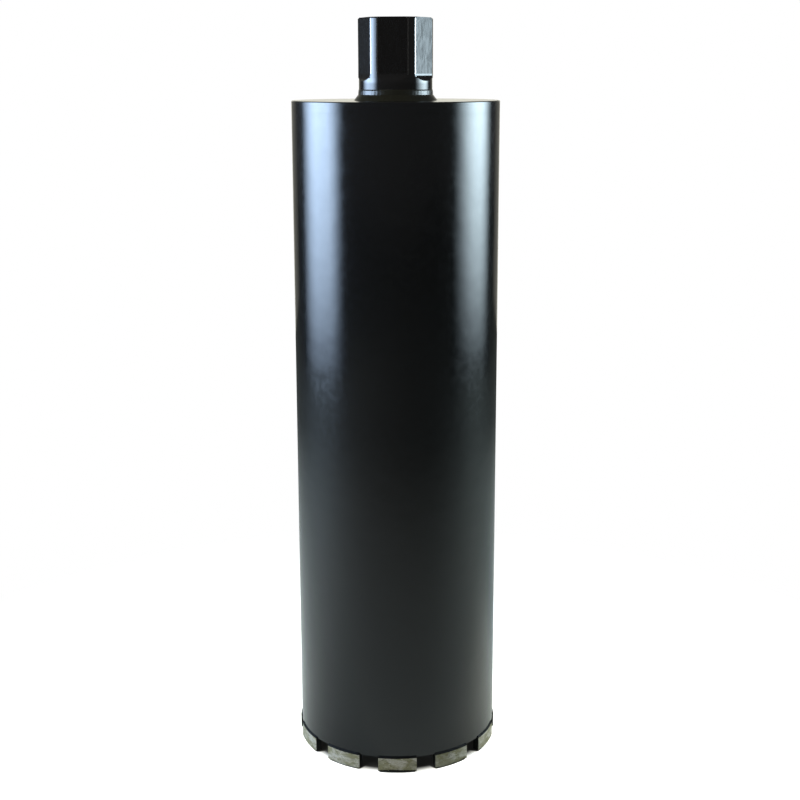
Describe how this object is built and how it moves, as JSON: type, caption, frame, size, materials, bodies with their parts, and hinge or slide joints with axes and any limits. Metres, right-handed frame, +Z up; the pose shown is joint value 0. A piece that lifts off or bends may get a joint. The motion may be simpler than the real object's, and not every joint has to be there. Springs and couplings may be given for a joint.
{
  "type": "diamond core bit",
  "caption": "Wet diamond core bit: a thin black barrel closed by a welded plate, a hexagonal wrench hub with a female thread, and a crown of sintered segments.",
  "frame": {"origin": "centre of the cutting ring, in the plane of the segments' cutting faces", "axes": "+Z up the bit's axis towards the hub, -Y through the middle of the first segment"},
  "size_m": [0.127, 0.1267, 0.456],
  "materials": {
    "black_paint": "semi-gloss black paint on steel",
    "hub_paint": "semi-gloss black paint on the hub, thin enough for milling marks to show",
    "weld_paint": "black paint over weld",
    "segment": "sintered metal, ground outside and painted black elsewhere",
    "solder": "silver solder under black paint"
  },
  "bodies": {
    "root": {"barrel": "black_paint", "end_plate": "black_paint", "plate_weld": "black_paint", "hub": "hub_paint", "hub_weld": "weld_paint", "segment_01": "segment", "segment_02": "segment", "segment_03": "segment", "segment_04": "segment", "segment_05": "segment", "segment_06": "segment", "segment_07": "segment", "segment_08": "segment", "segment_09": "segment", "segment_10": "segment", "segment_11": "segment", "braze_01": "solder", "braze_02": "solder", "braze_03": "solder", "braze_04": "solder", "braze_05": "solder", "braze_06": "solder", "braze_07": "solder", "braze_08": "solder", "braze_09": "solder", "braze_10": "solder", "braze_11": "solder"}
  },
  "joints": []
}
